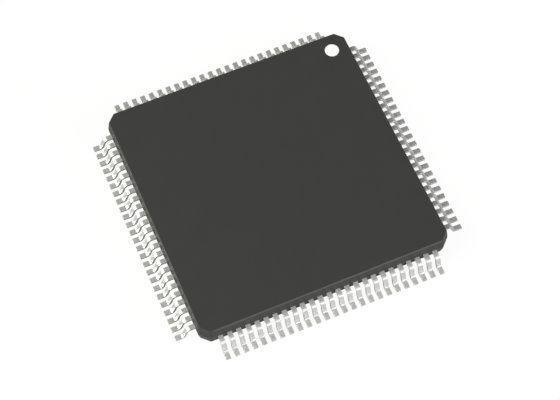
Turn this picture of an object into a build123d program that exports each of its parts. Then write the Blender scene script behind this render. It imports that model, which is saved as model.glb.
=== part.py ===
from build123d import *

import os
from math import atan2, copysign, floor, radians, sqrt, tan

# Quad flat pack chip: a square moulded body that stands on four rows of gull-wing leads.
# Millimetres. The origin is the middle of the seating plane, under the feet, and +Z is up.
# +X and +Y run square to the body's sides, and the pin one dot is in the +X +Y corner.
# The lead rows are numbered from that corner, counter-clockwise seen from above.

# Moulded body
body_side = 14.0  # across the parting band
body_thickness = 1.35
standoff = 0.05  # from the seating plane up to the underside
upper_draft = 7.0  # lean of the walls above the parting band, in degrees
lower_draft = 12.0  # lean of the walls below it
corner_chamfer = 0.48  # leg of each corner's chamfer at the parting band
edge_break = 0.05  # bevel round the top face and round the underside

# Pin one dot: white ink that fills a shallow recess in the top face
dot_diameter = 0.78
dot_depth = 0.04
dot_inset = 1.05  # from the two nearest sides of the body

# Marks that the ejector pins leave in the underside
ejector_diameter = 1.2
ejector_depth = 0.03
ejector_inset = 3.2  # from the two nearest sides of the body

# Lead frame sheet, which the leads and the die pad are cut from
sheet_thickness = 0.13
sheet_height = 0.68  # from the seating plane to the middle of the sheet

# Leads
lead_pitch = 0.5
lead_width = 0.26
lead_root = 0.5  # held inside the body
lead_shoulder = 0.3  # flat, from the body's side to the first bend
lead_slope = 68.0  # of the stretch between the bends, from level, in degrees
lead_foot = 0.44  # flat, from the second bend to the tip
bend_radius = 0.17  # on the outside of each bend, which is folded sharp on its inside
corner_land = 0.35  # least bare length of side between a corner's chamfer and a lead

# Die and the glue that holds it to its pad
die_side = 5.8
die_thickness = 0.28
attach_thickness = 0.03
attach_margin = 0.15  # of glue round the die

# Die pad, with a tie bar to each corner
pad_margin = 0.75  # of bare pad round the glue
pad_downset = 0.2  # below the leads
tie_bar_width = 0.3
tie_bar_lead_in = 0.2  # level, from the pad's corner to the start of the step
tie_bar_slope = 45.0  # of the step up to the height of the leads, in degrees
tie_bar_cover = 0.15  # of moulding between a tie bar's end and the corner's chamfer

# Values that follow from the ones above
half_side = body_side / 2
half_sheet = sheet_thickness / 2
body_top = standoff + body_thickness
band_top = sheet_height + half_sheet
band_bottom = sheet_height - half_sheet
lead_room = body_side - 2 * (corner_chamfer + corner_land) - lead_width
lead_steps = floor(lead_room / lead_pitch)
lead_places = [(step - lead_steps / 2) * lead_pitch for step in range(lead_steps + 1)]
attach_side = die_side + 2 * attach_margin
pad_side = attach_side + 2 * pad_margin
pad_height = sheet_height - pad_downset
pad_top = pad_height + half_sheet
attach_top = pad_top + attach_thickness


def octagon():
    """The body's outline at the parting band, a square with chamfered corners."""
    square = Rectangle(body_side, body_side)
    return chamfer(square.vertices(), corner_chamfer)


def stepped_strip(start, step_start, step_end, end, start_height, end_height, width, radius):
    """A strip of the sheet along +X that steps from one height to another.

    The four places are along X, where the sheet's middle begins, leaves the first height, meets
    the second and ends. The outside of each bend has the given radius.
    """
    drop = start_height - end_height
    turn = atan2(abs(drop), step_end - step_start)
    mitre = copysign(half_sheet * tan(turn / 2), drop)
    radii = (radius, 0) if drop > 0 else (0, radius)
    upper = FilletPolyline(
        (start, start_height + half_sheet),
        (step_start + mitre, start_height + half_sheet),
        (step_end + mitre, end_height + half_sheet),
        (end, end_height + half_sheet),
        radius=radii,
    )
    lower = FilletPolyline(
        (start, start_height - half_sheet),
        (step_start - mitre, start_height - half_sheet),
        (step_end - mitre, end_height - half_sheet),
        (end, end_height - half_sheet),
        radius=radii[::-1],
    )
    ends = Line(upper @ 0, lower @ 0) + Line(upper @ 1, lower @ 1)
    section = make_face(Plane.XZ * (upper + lower + ends))
    return extrude(section, amount=width / 2, both=True)


def lead():
    """One gull-wing lead along +X, with its root in the body and its foot on the seating plane."""
    half_turn = tan(radians(lead_slope) / 2)
    shoulder_bend = half_side + lead_shoulder + (bend_radius - half_sheet) * half_turn
    foot_bend = shoulder_bend + (sheet_height - half_sheet) / tan(radians(lead_slope))
    return stepped_strip(
        start=half_side - lead_root,
        step_start=shoulder_bend,
        step_end=foot_bend,
        end=foot_bend + half_sheet * half_turn + lead_foot,
        start_height=sheet_height,
        end_height=half_sheet,
        width=lead_width,
        radius=bend_radius,
    )


def lead_row(number):
    """The leads of one side, as separate solids. Row 1 is on the +Y side and row 4 on the +X side."""
    one = lead()
    return [Rot(Z=90 * number) * Pos(Y=place) * one for place in lead_places]


def die_pad():
    """The square pad under the die and the four tie bars that carry it from the corners."""
    pad = Pos(Z=pad_height) * Box(pad_side, pad_side, sheet_thickness)
    pad_corner = pad_side / sqrt(2)
    chamfer_face = (body_side - corner_chamfer) / sqrt(2)
    step_start = pad_corner + tie_bar_lead_in
    tie_bar = stepped_strip(
        start=pad_corner - tie_bar_width,
        step_start=step_start,
        step_end=step_start + pad_downset / tan(radians(tie_bar_slope)),
        end=chamfer_face - tie_bar_cover,
        start_height=pad_height,
        end_height=sheet_height,
        width=tie_bar_width,
        radius=0,
    )
    return pad + [Rot(Z=45 + 90 * corner) * tie_bar for corner in range(4)]


def square_layer(side, bottom, thickness):
    """A square plate on the body's axis."""
    return Pos(Z=bottom + thickness / 2) * Box(side, side, thickness)


def pin_one_dot():
    """The disc of ink, level with the top face."""
    place = half_side - dot_inset
    return Pos(place, place, body_top - dot_depth / 2) * Cylinder(dot_diameter / 2, dot_depth)


def ejector_marks():
    """The two shallow round marks in the underside, on one of its diagonals."""
    place = half_side - ejector_inset
    mark = Pos(Z=standoff + ejector_depth / 2) * Cylinder(ejector_diameter / 2, ejector_depth)
    return [Pos(place, place) * mark, Pos(-place, -place) * mark]


def moulded_body(inside):
    """The body moulded round the given pieces, with its walls drafted from the parting band."""
    band = Pos(Z=band_bottom) * extrude(octagon(), amount=sheet_thickness)
    upper = extrude(Pos(Z=band_top) * octagon(), amount=body_top - band_top, taper=upper_draft)
    lower = extrude(Pos(Z=band_bottom) * octagon(), amount=standoff - band_bottom, taper=lower_draft)
    block = band + upper + lower
    flats = block.faces().filter_by(Plane.XY).sort_by(Axis.Z)
    block = chamfer(flats[0].edges() + flats[-1].edges(), edge_break)
    return block - inside - ejector_marks()


def build():
    """Every piece, under its own name."""
    pieces = {f"lead_row_{number}": lead_row(number) for number in (1, 2, 3, 4)}
    pieces["die_pad"] = [die_pad()]
    pieces["die_attach"] = [square_layer(attach_side, pad_top, attach_thickness)]
    pieces["die"] = [square_layer(die_side, attach_top, die_thickness)]
    pieces["pin_one_dot"] = [pin_one_dot()]
    inside = [solid for solids in pieces.values() for solid in solids]
    pieces["moulded_body"] = [moulded_body(inside)]
    return pieces


os.makedirs("parts", exist_ok=True)
for name, solids in build().items():
    export_step(Compound(children=solids), f"parts/{name}.step")
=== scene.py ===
"""Looks of a quad flat pack chip: a matte moulding on four rows of tin-plated gull-wing leads.

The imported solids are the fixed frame. The leads and the moulding are remade here with rounded bends and
edges, the ink dot and the pieces inside the moulding keep their solids, and every piece gets a finish.
"""

import logging
import math
from dataclasses import dataclass
from enum import Enum

import bmesh
import bpy
from mathutils import Matrix, Vector


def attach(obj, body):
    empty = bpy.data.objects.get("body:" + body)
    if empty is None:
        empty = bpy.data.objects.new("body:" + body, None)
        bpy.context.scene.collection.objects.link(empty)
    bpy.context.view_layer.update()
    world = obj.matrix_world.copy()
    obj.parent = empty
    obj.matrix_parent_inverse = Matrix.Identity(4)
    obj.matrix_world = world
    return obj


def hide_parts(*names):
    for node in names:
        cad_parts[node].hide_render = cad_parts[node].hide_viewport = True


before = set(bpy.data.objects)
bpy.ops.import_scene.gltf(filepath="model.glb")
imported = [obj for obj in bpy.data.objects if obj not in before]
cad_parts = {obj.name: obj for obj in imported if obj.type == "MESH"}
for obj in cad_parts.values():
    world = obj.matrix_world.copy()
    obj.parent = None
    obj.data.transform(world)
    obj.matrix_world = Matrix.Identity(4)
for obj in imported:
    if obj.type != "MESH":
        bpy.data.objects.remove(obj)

MM = 0.001
LOG = logging.getLogger("chip")

Tone = tuple[float, float, float]
WHITE: Tone = (1.0, 1.0, 1.0)


class Slot(Enum):
    """The record's material slots, which the pieces take their finishes from."""

    MOULDING = "moulding"
    TIN = "tin_plate"
    COPPER = "frame_copper"
    SILICON = "silicon"
    GLUE = "die_glue"
    INK = "white_ink"


class Side(Enum):
    """The four lead rows, numbered counter-clockwise from the pin one dot, seen from above."""

    BACK = 1
    LEFT = 2
    FRONT = 3
    RIGHT = 4

    @property
    def node(self) -> str:
        """The name of this side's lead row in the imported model."""
        return f"lead_row_{self.value}"

    @property
    def turn(self) -> float:
        """The angle from +X to this side, about +Z."""
        return self.value * math.pi / 2


class Rounding(Enum):
    """What a rounding works on: the edges of a shape, or the corners of a flat outline."""

    EDGES = "EDGES"
    CORNERS = "VERTICES"


def direction(bearing: float, rise: float) -> Vector:
    """Gives a direction in the frame.

    Args:
        bearing: Its angle over the floor, from +X towards +Y.
        rise: Its angle above the floor.

    Returns:
        The direction, of length 1.
    """
    level = math.cos(rise)
    return Vector((math.cos(bearing) * level, math.sin(bearing) * level, math.sin(rise)))


def mesh_of(bm: bmesh.types.BMesh, name: str) -> bpy.types.Mesh:
    """Makes a mesh of a finished bmesh.

    Args:
        bm: The shape. It is freed.
        name: The mesh's name.

    Returns:
        The new mesh.
    """
    mesh = bpy.data.meshes.new(name)
    bm.to_mesh(mesh)
    bm.free()
    return mesh


def put_in_scene(name: str, data: bpy.types.ID) -> bpy.types.Object:
    """Makes an object of a mesh, a lamp or a camera and puts it in the scene.

    Args:
        name: The object's name.
        data: The mesh, lamp or camera.

    Returns:
        The new object.
    """
    made = bpy.data.objects.new(name, data)
    bpy.context.scene.collection.objects.link(made)
    return made


class NodeSheet:
    """A node tree, with short ways to add nodes and to feed their sockets."""

    # The places of sockets that share their name with others of the same node.
    MIXED_COLOURS = (6, 7)
    COLOUR_RESULT = 2
    MIXED_SHADERS = (1, 2)

    def __init__(self, tree: bpy.types.NodeTree) -> None:
        """Keeps the tree that the nodes go into."""
        self.tree = tree

    @classmethod
    def cleared(cls, owner: bpy.types.Material | bpy.types.World) -> "NodeSheet":
        """Empties the nodes of a new material or world.

        Args:
            owner: The material or world.

        Returns:
            The sheet of its nodes.
        """
        owner.use_nodes = True
        owner.node_tree.nodes.clear()
        return cls(owner.node_tree)

    def feed(self, socket: bpy.types.NodeSocket, value: object) -> None:
        """Feeds an input.

        Args:
            socket: The input.
            value: A plain value, or the output to join to it.
        """
        if isinstance(value, bpy.types.NodeSocket):
            self.tree.links.new(value, socket)
        else:
            socket.default_value = value

    def add(self, kind: str, settings: dict[str, object] | None = None, **inputs: object) -> bpy.types.Node:
        """Adds one node.

        Args:
            kind: The node's type, such as ShaderNodeBump.
            settings: The node's own properties, by name.
            inputs: What feeds its inputs, by name. An underscore in a name stands for a space.

        Returns:
            The new node.
        """
        node = self.tree.nodes.new(kind)
        for name, value in (settings or {}).items():
            setattr(node, name, value)
        for name, value in inputs.items():
            self.feed(node.inputs[name.replace("_", " ")], value)
        return node

    def work_out(self, operation: str, first: object, second: object = 0.0) -> bpy.types.NodeSocket:
        """Adds a Math node.

        Args:
            operation: The node's operation, such as MULTIPLY.
            first: A number, or the output that gives it.
            second: Another, for the operations that take two.

        Returns:
            The node's output.
        """
        node = self.add("ShaderNodeMath", {"operation": operation})
        for socket, value in zip(node.inputs, (first, second)):
            self.feed(socket, value)
        return node.outputs[0]

    def span(
        self, value: bpy.types.NodeSocket, low: float, high: float, start: object, end: object
    ) -> bpy.types.NodeSocket:
        """Adds a Map Range node that takes one range of a value to another.

        Args:
            value: The output that gives the value.
            low: Where the range starts.
            high: Where it ends.
            start: What the range's start becomes: a number, or the output that gives it.
            end: What its end becomes.

        Returns:
            The node's output.
        """
        node = self.add(
            "ShaderNodeMapRange", Value=value, From_Min=low, From_Max=high, To_Min=start, To_Max=end
        )
        return node.outputs["Result"]

    def blend(self, share: bpy.types.NodeSocket, first: object, second: object) -> bpy.types.NodeSocket:
        """Adds a Mix node for two colours.

        Args:
            share: The output that gives the second colour's share.
            first: A colour, or the output that gives it.
            second: Another.

        Returns:
            The node's colour output.
        """
        node = self.add("ShaderNodeMix", {"data_type": "RGBA"}, Factor=share)
        for place, value in zip(self.MIXED_COLOURS, (first, second)):
            colour = value if isinstance(value, bpy.types.NodeSocket) else (*value, 1.0)
            self.feed(node.inputs[place], colour)
        return node.outputs[self.COLOUR_RESULT]

    def choose(
        self, share: bpy.types.NodeSocket, first: bpy.types.Node, second: bpy.types.Node
    ) -> bpy.types.Node:
        """Adds a Mix Shader node.

        Args:
            share: The output that gives the second shader's share.
            first: A shader's node.
            second: Another's.

        Returns:
            The new node.
        """
        node = self.add("ShaderNodeMixShader", Fac=share)
        for place, shader in zip(self.MIXED_SHADERS, (first, second)):
            self.feed(node.inputs[place], shader.outputs[0])
        return node


class GrainGroup:
    """The shared grain: a fine height for the bump, and slow patches for the tone and the gloss."""

    NAME = "surface_grain"
    NOISE_DETAIL = {"Height": 3.0, "Patch": 2.0}
    NOISE_ROUGHNESS = 0.55
    NOISE_RANGE = (0.3, 0.7)

    @classmethod
    def tree(cls) -> bpy.types.NodeTree:
        """Gives the node group, which is built the first time.

        Returns:
            The group, with the inputs Vector, Grain Size and Patch Size in metres, and the outputs Height
            and Patch, which run from 0 to 1.
        """
        return bpy.data.node_groups.get(cls.NAME) or cls._build()

    @classmethod
    def _build(cls) -> bpy.types.NodeTree:
        """Builds the group.

        Returns:
            The new group.
        """
        group = bpy.data.node_groups.new(cls.NAME, "ShaderNodeTree")
        group.interface.new_socket("Vector", in_out="INPUT", socket_type="NodeSocketVector")
        for name in ("Grain Size", "Patch Size"):
            group.interface.new_socket(name, in_out="INPUT", socket_type="NodeSocketFloat")
        for name in ("Height", "Patch"):
            group.interface.new_socket(name, in_out="OUTPUT", socket_type="NodeSocketFloat")
        sheet = NodeSheet(group)
        given = sheet.add("NodeGroupInput").outputs
        made = sheet.add("NodeGroupOutput").inputs
        for size, result in (("Grain Size", "Height"), ("Patch Size", "Patch")):
            noise = sheet.add(
                "ShaderNodeTexNoise",
                Vector=given["Vector"],
                Scale=sheet.work_out("DIVIDE", 1.0, given[size]),
                Detail=cls.NOISE_DETAIL[result],
                Roughness=cls.NOISE_ROUGHNESS,
            )
            sheet.feed(made[result], sheet.span(noise.outputs["Fac"], *cls.NOISE_RANGE, 0.0, 1.0))
        return group


@dataclass(frozen=True)
class Finish:
    """One surface finish: its tones, its gloss and its grain.

    Attributes:
        slot: The material slot that it belongs to.
        tones: The two colours that its patches run between, in linear light.
        roughness: The two values that its patches run between.
        metallic: 1 for bare metal, 0 for what is no metal, and between them for a dull plate.
        specular: The strength of a plain surface's own gloss.
        grain_size: The size of one grain, in metres.
        grain_depth: The height of the grain, in metres.
        patch_size: The size of one patch, in metres.
    """

    slot: Slot
    tones: tuple[Tone, Tone]
    roughness: tuple[float, float]
    metallic: float
    specular: float
    grain_size: float
    grain_depth: float
    patch_size: float

    def material(self) -> bpy.types.Material:
        """Builds the finish's material.

        Returns:
            A material that reads Object coordinates.
        """
        made = bpy.data.materials.new(self.slot.value)
        sheet = NodeSheet.cleared(made)
        place = sheet.add("ShaderNodeTexCoord").outputs["Object"]
        grain = sheet.add(
            "ShaderNodeGroup",
            {"node_tree": GrainGroup.tree()},
            Vector=place,
            Grain_Size=self.grain_size,
            Patch_Size=self.patch_size,
        )
        bump = sheet.add(
            "ShaderNodeBump", Height=grain.outputs["Height"], Strength=1.0, Distance=self.grain_depth
        )
        shader = sheet.add(
            "ShaderNodeBsdfPrincipled",
            Specular_IOR_Level=self.specular,
            Normal=bump.outputs["Normal"],
            **self.coat(sheet, place, grain.outputs["Patch"]),
        )
        sheet.add("ShaderNodeOutputMaterial", Surface=shader.outputs["BSDF"])
        return made

    def coat(
        self, sheet: NodeSheet, place: bpy.types.NodeSocket, patch: bpy.types.NodeSocket
    ) -> dict[str, object]:
        """Adds the nodes of the finish's colour and gloss.

        Args:
            sheet: The material's nodes.
            place: The Object coordinates.
            patch: The share of the second tone.

        Returns:
            What feeds the shader's inputs, by name.
        """
        return {
            "Base_Color": sheet.blend(patch, *self.tones),
            "Roughness": sheet.span(patch, 0.0, 1.0, *self.roughness),
            "Metallic": self.metallic,
        }


@dataclass(frozen=True)
class MouldingFinish(Finish):
    """Epoxy moulding compound, with painted light on its walls and low down, and a painted highlight on a
    smoother band below the rim.

    Attributes:
        wall_painted_light_tone: The colour of everything below the top face, painted lighter than the top
            as painted light.
        wall_high: The height where the walls end, just below the top face.
        light_patch_least: The least share of the walls' painted light and of the band's painted highlight,
            between the patches.
        rim_highlight_tone: The colour of the band below the rim, a painted highlight.
        rub_roughness: The band's roughness, as a share of the rest's.
        rub_and_highlight_band: The heights where the band starts and ends.
        rub_and_highlight_fade: The height over which each of its edges fades.
        rub_and_highlight_reach: Where it ends towards the left corners, as the sum of the distances along
            -X and Y.
        rub_and_highlight_end: The length over which it fades there.
        lower_painted_light_tone: The colour of the lower walls and the underside, painted lighter as fill
            light in the shade between the leads.
        lower_painted_light_high: The height where they end.
    """

    wall_painted_light_tone: Tone
    wall_high: float
    light_patch_least: float
    rim_highlight_tone: Tone
    rub_roughness: float
    rub_and_highlight_band: tuple[float, float]
    rub_and_highlight_fade: float
    rub_and_highlight_reach: float
    rub_and_highlight_end: float
    lower_painted_light_tone: Tone
    lower_painted_light_high: float

    def coat(
        self, sheet: NodeSheet, place: bpy.types.NodeSocket, patch: bpy.types.NodeSocket
    ) -> dict[str, object]:
        """Adds the nodes of the moulding's colour and gloss, with its painted light and its painted
        highlight.

        Args:
            sheet: The material's nodes.
            place: The Object coordinates.
            patch: The share of the second tone.

        Returns:
            What feeds the shader's inputs, by name.
        """
        coat = super().coat(sheet, place, patch)
        along = sheet.add("ShaderNodeSeparateXYZ", Vector=place).outputs
        uneven = sheet.span(patch, 0.0, 1.0, self.light_patch_least, 1.0)
        # Painted light: everything below the top face is painted lighter than the top, in random patches.
        on_wall = sheet.work_out("LESS_THAN", along["Z"], self.wall_high)
        patchy_wall_light = sheet.work_out("MULTIPLY", on_wall, uneven)
        walls = sheet.blend(patchy_wall_light, coat["Base_Color"], self.wall_painted_light_tone)
        # Painted light: the lower walls and the underside are painted lighter still, as fill light in the
        # shade between the leads.
        lower_painted_light = sheet.work_out("LESS_THAN", along["Z"], self.lower_painted_light_high)
        lower_walls = sheet.blend(lower_painted_light, walls, self.lower_painted_light_tone)
        # Painted highlight: a paler band below the rim, also smoother, which fades out towards the left
        # corners.
        low, high = self.rub_and_highlight_band
        rising = sheet.span(along["Z"], low, low + self.rub_and_highlight_fade, 0.0, 1.0)
        ending = sheet.span(along["Z"], high - self.rub_and_highlight_fade, high, 1.0, 0.0)
        reach = sheet.work_out("SUBTRACT", sheet.work_out("ABSOLUTE", along["Y"]), along["X"])
        on_side = sheet.span(reach, self.rub_and_highlight_reach - self.rub_and_highlight_end, self.rub_and_highlight_reach, uneven, 0.0)
        rub_and_highlight = sheet.work_out("MULTIPLY", sheet.work_out("MULTIPLY", rising, ending), on_side)
        smoother = sheet.span(rub_and_highlight, 0.0, 1.0, 1.0, self.rub_roughness)
        return coat | {
            "Base_Color": sheet.blend(rub_and_highlight, lower_walls, self.rim_highlight_tone),
            "Roughness": sheet.work_out("MULTIPLY", coat["Roughness"], smoother),
        }


@dataclass(frozen=True)
class LeadFinish(Finish):
    """Tin plate, with the sheet's sides, where it was sheared, rougher and painted darker as painted shade.

    Attributes:
        mark: The face attribute that is 1 on the sheared sides.
        sheared_painted_shade_tone: The sides' colour, darker than the faces as painted shade.
        sheared_metallic: The sides' metallic value.
        sheared_roughness: The sides' roughness, as a multiple of the faces'.
    """

    mark: str
    sheared_painted_shade_tone: Tone
    sheared_metallic: float
    sheared_roughness: float

    def coat(
        self, sheet: NodeSheet, place: bpy.types.NodeSocket, patch: bpy.types.NodeSocket
    ) -> dict[str, object]:
        """Adds the nodes of the leads' colour and gloss, with the rougher sides painted darker as painted
        shade.

        Args:
            sheet: The material's nodes.
            place: The Object coordinates.
            patch: The share of the second tone.

        Returns:
            What feeds the shader's inputs, by name.
        """
        coat = super().coat(sheet, place, patch)
        # Painted shade: the sheared sides are painted darker than the faces; they are also rougher and not
        # metallic.
        sheared = sheet.add("ShaderNodeAttribute", {"attribute_name": self.mark}).outputs["Fac"]
        rougher = sheet.span(sheared, 0.0, 1.0, 1.0, self.sheared_roughness)
        return {
            "Base_Color": sheet.blend(sheared, coat["Base_Color"], self.sheared_painted_shade_tone),
            "Roughness": sheet.work_out("MULTIPLY", coat["Roughness"], rougher),
            "Metallic": sheet.span(sheared, 0.0, 1.0, self.metallic, self.sheared_metallic),
        }


MOULDING = MouldingFinish(
    slot=Slot.MOULDING,
    tones=((0.0395, 0.0395, 0.0384), (0.0405, 0.0405, 0.0394)),
    roughness=(0.545, 0.57),
    metallic=0.0,
    specular=0.3,
    grain_size=0.03 * MM,
    grain_depth=0.0015 * MM,
    patch_size=0.9 * MM,
    wall_painted_light_tone=(0.063, 0.063, 0.0602),
    wall_high=1.3992 * MM,
    light_patch_least=0.65,
    rim_highlight_tone=(0.11, 0.11, 0.1055),
    rub_roughness=0.7,
    rub_and_highlight_band=(1.295 * MM, 1.396 * MM),
    rub_and_highlight_fade=0.02 * MM,
    rub_and_highlight_reach=13.3 * MM,
    rub_and_highlight_end=0.5 * MM,
    lower_painted_light_tone=(0.097, 0.097, 0.093),
    lower_painted_light_high=0.77 * MM,
)
TIN = LeadFinish(
    slot=Slot.TIN,
    tones=((0.755, 0.755, 0.742), (0.835, 0.835, 0.822)),
    roughness=(0.33, 0.41),
    metallic=0.55,
    specular=0.5,
    grain_size=0.02 * MM,
    grain_depth=0.001 * MM,
    patch_size=0.18 * MM,
    mark="sheared",
    sheared_painted_shade_tone=(0.60, 0.60, 0.59),
    sheared_metallic=0.0,
    sheared_roughness=1.6,
)
COPPER = Finish(
    slot=Slot.COPPER,
    tones=((0.72, 0.36, 0.22), (0.82, 0.44, 0.28)),
    roughness=(0.30, 0.42),
    metallic=1.0,
    specular=0.5,
    grain_size=0.05 * MM,
    grain_depth=0.002 * MM,
    patch_size=0.8 * MM,
)
SILICON = Finish(
    slot=Slot.SILICON,
    tones=((0.16, 0.17, 0.19), (0.22, 0.22, 0.25)),
    roughness=(0.12, 0.22),
    metallic=1.0,
    specular=0.5,
    grain_size=0.03 * MM,
    grain_depth=0.0005 * MM,
    patch_size=0.5 * MM,
)
GLUE = Finish(
    slot=Slot.GLUE,
    tones=((0.42, 0.42, 0.41), (0.54, 0.54, 0.52)),
    roughness=(0.45, 0.60),
    metallic=0.0,
    specular=0.5,
    grain_size=0.02 * MM,
    grain_depth=0.003 * MM,
    patch_size=0.3 * MM,
)
INK = Finish(
    slot=Slot.INK,
    tones=((0.94, 0.94, 0.955), (0.97, 0.97, 0.98)),
    roughness=(0.55, 0.70),
    metallic=0.0,
    specular=0.4,
    grain_size=0.03 * MM,
    grain_depth=0.002 * MM,
    patch_size=0.25 * MM,
)


class Piece:
    """Ways that the new pieces share to be shaped and to become objects of the frame."""

    CREASE = math.radians(60.0)
    SQUARE_ON = 0.9  # a face looks along an axis where its normal's share of that axis is past this

    @staticmethod
    def _corners(parts: list[object]) -> list[bmesh.types.BMVert]:
        """Picks the vertices out of an operator's result."""
        return [part for part in parts if isinstance(part, bmesh.types.BMVert)]

    @staticmethod
    def _end_face(parts: list[object]) -> bmesh.types.BMFace:
        """Picks the first face out of an operator's result."""
        return next(part for part in parts if isinstance(part, bmesh.types.BMFace))

    @staticmethod
    def _bevel(
        bm: bmesh.types.BMesh,
        rounding: Rounding,
        parts: list[object],
        offset: float,
        steps: int,
        clamp: bool = False,
    ) -> None:
        """Rounds edges, or the corners of a flat outline.

        Args:
            bm: The piece's shape.
            rounding: Which of the two it is.
            parts: The edges or the corners.
            offset: How far the rounding runs from them.
            steps: Flats that make up one rounding.
            clamp: Whether roundings that would meet are held apart.
        """
        bmesh.ops.bevel(
            bm,
            geom=parts,
            offset=offset,
            offset_type="OFFSET",
            segments=steps,
            profile=0.5,
            affect=rounding.value,
            clamp_overlap=clamp,
            material=-1,
        )

    @classmethod
    def _corner_normals(cls, bm: bmesh.types.BMesh) -> list[Vector]:
        """Works out normals that keep the flats flat and shade the narrow roundings between them smoothly.

        Args:
            bm: The piece's shape.

        Returns:
            A normal for each face corner, in order: the mean of the faces round it, weighted by their
            areas, without those beyond a crease.
        """
        bm.normal_update()
        area = {face: face.calc_area() for face in bm.faces}
        normals = []
        for face in bm.faces:
            for corner in face.loops:
                round_it = corner.vert.link_faces
                near = [other for other in round_it if face.normal.angle(other.normal) < cls.CREASE]
                normals.append(sum((other.normal * area[other] for other in near), Vector()).normalized())
        return normals

    @classmethod
    def place(
        cls, bm: bmesh.types.BMesh, name: str, slot: Slot, material: bpy.types.Material, *nodes: str
    ) -> bpy.types.Object:
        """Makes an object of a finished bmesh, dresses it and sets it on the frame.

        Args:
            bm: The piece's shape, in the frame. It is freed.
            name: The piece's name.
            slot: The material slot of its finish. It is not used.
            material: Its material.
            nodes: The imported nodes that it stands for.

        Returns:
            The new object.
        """
        bmesh.ops.recalc_face_normals(bm, faces=bm.faces[:])
        normals = cls._corner_normals(bm)
        mesh = mesh_of(bm, name)
        mesh.materials.append(material)
        mesh.shade_smooth()
        mesh.normals_split_custom_set(normals)
        piece = put_in_scene(name, mesh)
        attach(piece, "root")
        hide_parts(*nodes)
        return piece


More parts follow.
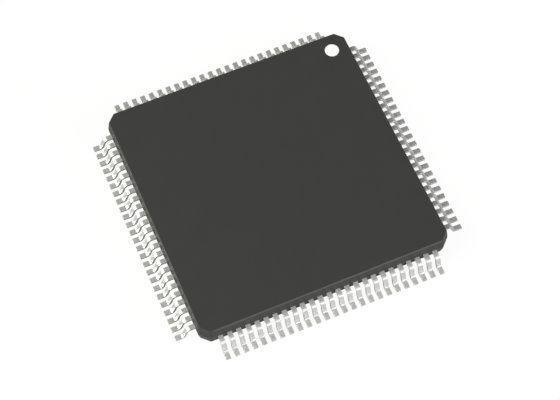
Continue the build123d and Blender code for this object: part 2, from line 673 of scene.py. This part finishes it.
@dataclass
class LeadRow(Piece):
    """One side's leads, each bent from a strip of the plated lead frame.

    Attributes:
        side: The side of the body that the row stands on.
        count: The number of leads.
        pitch: From one lead to the next.
        width: Of a lead.
        thickness: Of the sheet.
        root: Where a lead starts inside the body, from the body's axis.
        height: Of the sheet's middle where it leaves the body.
        shoulder: Where the first bend starts, from the body's axis.
        tip: Where the foot ends, from the body's axis.
        slope: Of the stretch between the bends, from level.
        upper_radius: Of the first bend, on its inside.
        lower_radius: Of the second bend, on its inside.
        bend_steps: Flats that make up one bend.
        edge: Rounding along the strip's edges.
        tip_edge: Rounding at the cut end.
    """

    side: Side
    count: int = 25
    pitch: float = 0.5 * MM
    width: float = 0.26 * MM
    thickness: float = 0.13 * MM
    root: float = 6.5 * MM
    height: float = 0.68 * MM
    shoulder: float = 7.24 * MM
    tip: float = 8.103 * MM
    slope: float = math.radians(70.7)
    upper_radius: float = 0.178 * MM
    lower_radius: float = 0.16 * MM
    bend_steps: int = 6
    edge: float = 0.010 * MM
    tip_edge: float = 0.010 * MM

    def _strip_end(self, bm: bmesh.types.BMesh) -> bmesh.types.BMFace:
        """Starts the strip with its cross-section, at the root.

        Args:
            bm: The bmesh that the lead goes into.

        Returns:
            The section's face, with rounded corners.
        """
        upright = Matrix.Translation((self.root, 0.0, self.height)) @ Matrix.Rotation(math.pi / 2, 4, "Y")
        section = Matrix.Diagonal((self.thickness, self.width, 1.0, 1.0))
        # A square of side 1, which the matrix makes as wide as the strip and as thick.
        bmesh.ops.create_grid(bm, x_segments=1, y_segments=1, size=0.5, matrix=upright @ section)
        self._bevel(bm, Rounding.CORNERS, bm.verts[:], self.edge, 1)
        return bm.faces[:][0]

    def _run(self, bm: bmesh.types.BMesh, face: bmesh.types.BMFace, way: Vector) -> bmesh.types.BMFace:
        """Draws the strip on along a straight line.

        Args:
            bm: The lead's bmesh.
            face: The strip's end.
            way: How far the end moves.

        Returns:
            The strip's new end.
        """
        drawn = bmesh.ops.extrude_face_region(bm, geom=[face])["geom"]
        bmesh.ops.delete(bm, geom=[face], context="FACES_ONLY")
        bmesh.ops.translate(bm, vec=way, verts=self._corners(drawn))
        return self._end_face(drawn)

    def _bend(
        self, bm: bmesh.types.BMesh, face: bmesh.types.BMFace, centre: Vector, angle: float
    ) -> bmesh.types.BMFace:
        """Draws the strip on round a bend.

        Args:
            bm: The lead's bmesh.
            face: The strip's end.
            centre: The bend's centre.
            angle: The turn about +Y, which is down where it is positive.

        Returns:
            The strip's new end.
        """
        drawn = bmesh.ops.spin(
            bm,
            geom=[face],
            cent=centre,
            axis=(0.0, 1.0, 0.0),
            angle=angle,
            steps=self.bend_steps,
            use_merge=False,
            use_duplicate=False,
        )["geom_last"]
        bmesh.ops.delete(bm, geom=[face], context="FACES_ONLY")
        return self._end_face(drawn)

    def _lead(self, bm: bmesh.types.BMesh) -> None:
        """Bends one lead along +X, in the middle of the row.

        Args:
            bm: The bmesh that it goes into.
        """
        first = Vector((self.shoulder, 0.0, self.height - self.upper_radius - self.thickness / 2))
        between = self.upper_radius + self.lower_radius + self.thickness
        fall = self.height - self.thickness / 2 - between * (1 - math.cos(self.slope))
        riser = Vector((fall / math.tan(self.slope), 0.0, -fall))
        second = first + riser + between * Vector((math.sin(self.slope), 0.0, math.cos(self.slope)))
        face = self._strip_end(bm)
        face = self._run(bm, face, Vector((self.shoulder - self.root, 0.0, 0.0)))
        face = self._bend(bm, face, first, self.slope)
        face = self._run(bm, face, riser)
        face = self._bend(bm, face, second, -self.slope)
        face = self._run(bm, face, Vector((self.tip - self.tip_edge - second.x, 0.0, 0.0)))
        tip = self._run(bm, face, Vector((self.tip_edge, 0.0, 0.0)))
        to_middle = Matrix.Translation(-tip.calc_center_median())
        both_edges = 2 * self.tip_edge
        shrink = Vector((1.0, 1.0 - both_edges / self.width, 1.0 - both_edges / self.thickness))
        bmesh.ops.scale(bm, vec=shrink, space=to_middle, verts=tip.verts[:])
        bmesh.ops.holes_fill(bm, edges=[edge for edge in bm.edges if edge.is_boundary])

    def _mark_sheared(self, bm: bmesh.types.BMesh) -> None:
        """Marks a lead's two sides, where the sheet was sheared.

        Args:
            bm: The bmesh of the lead along +X.
        """
        bm.normal_update()
        mark = bm.faces.layers.float.new(TIN.mark)
        for face in bm.faces:
            face[mark] = float(abs(face.normal.y) > self.SQUARE_ON)

    def build(self, material: bpy.types.Material) -> bpy.types.Object:
        """Builds the row in its place.

        Args:
            material: The leads' material.

        Returns:
            The row, which stands for the side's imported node.
        """
        bm = bmesh.new()
        self._lead(bm)
        self._mark_sheared(bm)
        one = bm.verts[:] + bm.edges[:] + bm.faces[:]
        bmesh.ops.translate(bm, vec=(0.0, -self.pitch * (self.count - 1) / 2, 0.0), verts=bm.verts[:])
        for step in range(1, self.count):
            copied = bmesh.ops.duplicate(bm, geom=one)["geom"]
            bmesh.ops.translate(bm, vec=(0.0, self.pitch * step, 0.0), verts=self._corners(copied))
        to_side = Matrix.Rotation(self.side.turn, 3, "Z")
        bmesh.ops.rotate(bm, cent=(0.0, 0.0, 0.0), matrix=to_side, verts=bm.verts[:])
        return self.place(bm, f"leads_{self.side.name.lower()}", Slot.TIN, material, self.side.node)


@dataclass
class Moulding(Piece):
    """The body, moulded in two halves that part at the level of the lead frame.

    Attributes:
        side: Across the parting band.
        bottom: Height of the underside.
        top: Height of the top face.
        band: Heights of the parting band's two edges.
        upper_draft: Lean of the walls above the band.
        lower_draft: Lean of the walls below it.
        corner: Leg of each corner's chamfer at the band.
        edge: Rounding round the top face and the underside.
        edge_steps: Flats that make it up.
        corner_edge: Rounding down the corners.
        corner_steps: Flats that make it up.
        dot: Radius of the recess for the pin one dot.
        dot_depth: Its depth.
        dot_place: Its distance from the body's axis along X and Y.
        ejector: Radius of an ejector pin's mark in the underside.
        ejector_depth: Its depth.
        ejector_place: Its distance from the body's axis along X and Y.
        recess_steps: Flats that make up the wall of a recess or a mark.
    """

    side: float = 14.0 * MM
    bottom: float = 0.05 * MM
    top: float = 1.40 * MM
    band: tuple[float, float] = (0.615 * MM, 0.745 * MM)
    upper_draft: float = math.radians(7.0)
    lower_draft: float = math.radians(12.0)
    corner: float = 0.48 * MM
    edge: float = 0.045 * MM
    edge_steps: int = 3
    corner_edge: float = 0.02 * MM
    corner_steps: int = 2
    dot: float = 0.39 * MM
    dot_depth: float = 0.04 * MM
    dot_place: float = 5.95 * MM
    ejector: float = 0.6 * MM
    ejector_depth: float = 0.03 * MM
    ejector_place: float = 3.8 * MM
    recess_steps: int = 64

    def _flats(self, bm: bmesh.types.BMesh) -> list[bmesh.types.BMFace]:
        """Finds the level faces.

        Args:
            bm: The block.

        Returns:
            The underside and the top face, in this order.
        """
        level = [face for face in bm.faces if abs(face.normal.z) > self.SQUARE_ON]
        return sorted(level, key=lambda face: face.normal.z)

    def _rims(self, bm: bmesh.types.BMesh) -> list[bmesh.types.BMEdge]:
        """Finds the edges round the top face and the underside."""
        return [edge for face in self._flats(bm) for edge in face.edges]

    def _block(self) -> bmesh.types.BMesh:
        """Builds the drafted block with its rounded edges.

        Returns:
            The block, without the recesses.
        """
        bm = bmesh.new()
        low, high = self.band
        at_band = Matrix.Translation((0.0, 0.0, low))
        bmesh.ops.create_grid(bm, x_segments=1, y_segments=1, size=self.side / 2, matrix=at_band)
        self._bevel(bm, Rounding.CORNERS, bm.verts[:], self.corner, 1)
        drawn = bmesh.ops.extrude_face_region(bm, geom=bm.faces[:])["geom"]
        bmesh.ops.translate(bm, vec=(0.0, 0.0, high - low), verts=self._corners(drawn))
        bmesh.ops.recalc_face_normals(bm, faces=bm.faces[:])
        underside, top_face = self._flats(bm)
        for face, rise, draft in (
            (underside, low - self.bottom, self.lower_draft),
            (top_face, self.top - high, self.upper_draft),
        ):
            bmesh.ops.inset_individual(
                bm, faces=[face], thickness=rise * math.tan(draft), depth=rise, use_even_offset=True
            )
        heights = (self.bottom, low, high, self.top)
        half_step = min(upper - lower for lower, upper in zip(heights, heights[1:])) / 2
        rising = [edge for edge in bm.edges if abs(edge.verts[0].co.z - edge.verts[1].co.z) > half_step]
        self._bevel(bm, Rounding.EDGES, rising, self.corner_edge, self.corner_steps)
        self._bevel(bm, Rounding.EDGES, self._rims(bm), self.edge, self.edge_steps, clamp=True)
        return bm

    def _recesses(self) -> bmesh.types.BMesh:
        """Builds the plugs that press the dot's recess and the ejector marks into the block.

        Returns:
            Three short cylinders.
        """
        bm = bmesh.new()
        for radius, depth, place, level in (
            (self.dot, self.dot_depth, self.dot_place, self.top),
            (self.ejector, self.ejector_depth, self.ejector_place, self.bottom),
            (self.ejector, self.ejector_depth, -self.ejector_place, self.bottom),
        ):
            bmesh.ops.create_cone(
                bm,
                cap_ends=True,
                segments=self.recess_steps,
                radius1=radius,
                radius2=radius,
                depth=2 * depth,
                matrix=Matrix.Translation((place, place, level)),
            )
        return bm

    def build(self, material: bpy.types.Material) -> bpy.types.Object:
        """Builds the moulding in its place.

        Args:
            material: Its material.

        Returns:
            The moulding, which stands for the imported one.
        """
        solids = []
        for name, bm in (("block", self._block()), ("plugs", self._recesses())):
            bmesh.ops.recalc_face_normals(bm, faces=bm.faces[:])
            solids.append(put_in_scene(name, mesh_of(bm, name)))
        block, plugs = solids
        cut = block.modifiers.new("recesses", "BOOLEAN")
        cut.operation = "DIFFERENCE"
        cut.solver = "EXACT"
        cut.object = plugs
        shaped = bmesh.new()
        shaped.from_object(block, bpy.context.evaluated_depsgraph_get())
        for solid in solids:
            bpy.data.objects.remove(solid)
        return self.place(shaped, "moulding", Slot.MOULDING, material, "moulded_body")


@dataclass
class KeptSolids:
    """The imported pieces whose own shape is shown: the ink dot, and what the moulding holds inside.

    Attributes:
        finishes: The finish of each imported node.
    """

    finishes: dict[str, Finish]

    def dress(self) -> None:
        """Gives each node its material."""
        for node, finish in self.finishes.items():
            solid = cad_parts[node]
            solid.data.materials.clear()
            solid.data.materials.append(finish.material())
            LOG.info("%s: kept as packed, finish %s", node, finish.slot.value)


@dataclass(frozen=True)
class SoftBox:
    """A soft square lamp, aimed at the chip.

    Attributes:
        name: Its name.
        bearing: Where it stands, from +X towards +Y.
        rise: Its height above the horizon, as an angle.
        level: How bright it makes a white card that faces it.
        tint: Its colour.
        size: Its side, in metres.
        distance: From the chip, in metres.
    """

    name: str
    bearing: float
    rise: float
    level: float
    tint: Tone = WHITE
    size: float = 0.4
    distance: float = 0.6

    def light(self) -> None:
        """Puts the lamp in the scene."""
        lamp = bpy.data.lights.new(self.name, "AREA")
        lamp.shape = "SQUARE"
        lamp.size = self.size
        lamp.color = self.tint
        # A small lamp of one watt lights a white card that faces it to 1 / (pi * distance)**2.
        lamp.energy = self.level * math.pi**2 * self.distance**2
        way = direction(self.bearing, self.rise)
        stand = put_in_scene(self.name, lamp)
        stand.location = way * self.distance
        stand.rotation_euler = way.to_track_quat("Z", "Y").to_euler()


@dataclass
class Studio:
    """The pale floor, the soft light and the camera.

    Attributes:
        floor_radius: Of the floor, in metres.
        floor_steps: Straight edges that make up its outline.
        floor_drop: How far the floor lies below the feet, so that the two don't share a plane.
        floor_tone: Brightness of the floor where light bounces off it.
        floor_glow: Share of plain white in the floor as it is seen. The rest takes the shadow.
        floor_sheen: The same share for the floor as the metal reflects it.
        sky_level: Brightness of the sky as a light. It is white as it is seen.
        sky_sheen: Share of that white in the sky as the metal reflects it.
        lamps: The soft boxes.
        target: What the camera looks at.
        bearing: The way that it looks over the floor, from +X towards +Y.
        fall: How steeply it looks down.
        roll: Its turn about its own axis.
        distance: From the target.
        lens: Its focal length, in millimetres.
        sensor: The width of its sensor, in millimetres.
        clip: The nearest and farthest distances that it sees, in metres.
    """

    floor_radius: float = 0.6
    floor_steps: int = 96
    floor_drop: float = 0.01 * MM
    floor_tone: float = 0.46
    floor_glow: float = 0.94
    floor_sheen: float = 0.08
    sky_level: float = 0.03
    sky_sheen: float = 0.01
    lamps: tuple[SoftBox, ...] = (
        SoftBox("key", math.radians(165.0), math.radians(40.0), level=1.10, tint=(1.0, 0.995, 0.925)),
        SoftBox("front", math.radians(262.0), math.radians(42.0), level=0.25),
        SoftBox("right", math.radians(318.0), math.radians(25.0), level=0.75),
    )
    target: tuple[float, float, float] = (-0.0359 * MM, -0.7645 * MM, 0.0)
    bearing: float = math.radians(66.989)
    fall: float = math.radians(62.636)
    roll: float = math.radians(-0.236)
    distance: float = 85.335 * MM
    lens: float = 102.961
    sensor: float = 36.0
    clip: tuple[float, float] = (1 * MM, 10.0)

    @staticmethod
    def _seen(
        sheet: NodeSheet, ray: bpy.types.NodeOutputs, direct: float, mirrored: float
    ) -> bpy.types.NodeSocket:
        """Adds the nodes for a share that only rays from the camera and from gloss and glass take.

        Args:
            sheet: The nodes of the floor or of the sky.
            ray: The outputs of its Light Path node.
            direct: The share where the camera sees it.
            mirrored: The share where gloss or glass shows it.

        Returns:
            The output that gives the share.
        """
        gloss = sheet.work_out("MAXIMUM", ray["Is Glossy Ray"], ray["Is Transmission Ray"])
        plain = sheet.work_out("MULTIPLY", ray["Is Camera Ray"], direct)
        return sheet.work_out("ADD", plain, sheet.work_out("MULTIPLY", gloss, mirrored))

    def _floor_material(self) -> bpy.types.Material:
        """Builds the floor's material: white with a soft shadow as it is seen, plain where light bounces.

        Returns:
            The material, which is clear from below, so that it doesn't hide the underside.
        """
        made = bpy.data.materials.new("pale_floor")
        sheet = NodeSheet.cleared(made)
        ray = sheet.add("ShaderNodeLightPath").outputs
        glow = self._seen(sheet, ray, self.floor_glow, self.floor_sheen)
        tone = sheet.span(ray["Is Camera Ray"], 0.0, 1.0, self.floor_tone, 1.0)
        plain = sheet.add("ShaderNodeBsdfDiffuse", Color=tone)
        white = sheet.add("ShaderNodeEmission", Color=(*WHITE, 1.0), Strength=1.0)
        above = sheet.choose(glow, plain, white)
        clear = sheet.add("ShaderNodeBsdfTransparent")
        below = sheet.add("ShaderNodeNewGeometry").outputs["Backfacing"]
        either = sheet.choose(below, above, clear)
        sheet.add("ShaderNodeOutputMaterial", Surface=either.outputs[0])
        return made

    def floor(self) -> None:
        """Lays the floor under the feet."""
        bm = bmesh.new()
        bmesh.ops.create_circle(
            bm,
            cap_ends=True,
            segments=self.floor_steps,
            radius=self.floor_radius,
            matrix=Matrix.Translation((0.0, 0.0, -self.floor_drop)),
        )
        mesh = mesh_of(bm, "floor")
        mesh.materials.append(self._floor_material())
        floor = put_in_scene("floor", mesh)

    def sky(self) -> None:
        """Sets the world: a dim even light that is seen as white."""
        world = bpy.data.worlds.new("sky")
        sheet = NodeSheet.cleared(world)
        ray = sheet.add("ShaderNodeLightPath").outputs
        level = sheet.span(self._seen(sheet, ray, 1.0, self.sky_sheen), 0.0, 1.0, self.sky_level, 1.0)
        light = sheet.add("ShaderNodeBackground", Color=(*WHITE, 1.0), Strength=level)
        sheet.add("ShaderNodeOutputWorld", Surface=light.outputs[0])
        bpy.context.scene.world = world

    def camera(self) -> None:
        """Stands the camera where the photograph was taken from."""
        ahead = direction(self.bearing, -self.fall)
        level_right = ahead.cross(Vector((0.0, 0.0, 1.0))).normalized()
        right = Matrix.Rotation(-self.roll, 3, ahead) @ level_right
        up = right.cross(ahead)
        optics = bpy.data.cameras.new("camera")
        optics.sensor_width = self.sensor
        optics.lens = self.lens
        optics.clip_start, optics.clip_end = self.clip
        stand = put_in_scene("camera", optics)
        turn = Matrix((right, up, -ahead)).transposed().to_4x4()
        stand.matrix_world = Matrix.Translation(Vector(self.target) - ahead * self.distance) @ turn
        bpy.context.scene.camera = stand

    def set_up(self) -> None:
        """Sets up the whole studio."""
        bpy.context.scene.view_settings.view_transform = "Standard"
        self.floor()
        self.sky()
        for lamp in self.lamps:
            lamp.light()
        self.camera()


def main() -> None:
    """Builds the chip and its studio in order, and reports each piece."""
    logging.basicConfig(level=logging.INFO, format="%(name)s: %(message)s")
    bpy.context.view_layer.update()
    moulding = Moulding().build(MOULDING.material())
    LOG.info("%s: %d faces", moulding.name, len(moulding.data.polygons))
    tin = TIN.material()
    for side in Side:
        row = LeadRow(side).build(tin)
        LOG.info("%s: %d faces", row.name, len(row.data.polygons))
    KeptSolids({"pin_one_dot": INK, "die": SILICON, "die_attach": GLUE, "die_pad": COPPER}).dress()
    Studio().set_up()


if __name__ == "__main__":
    main()
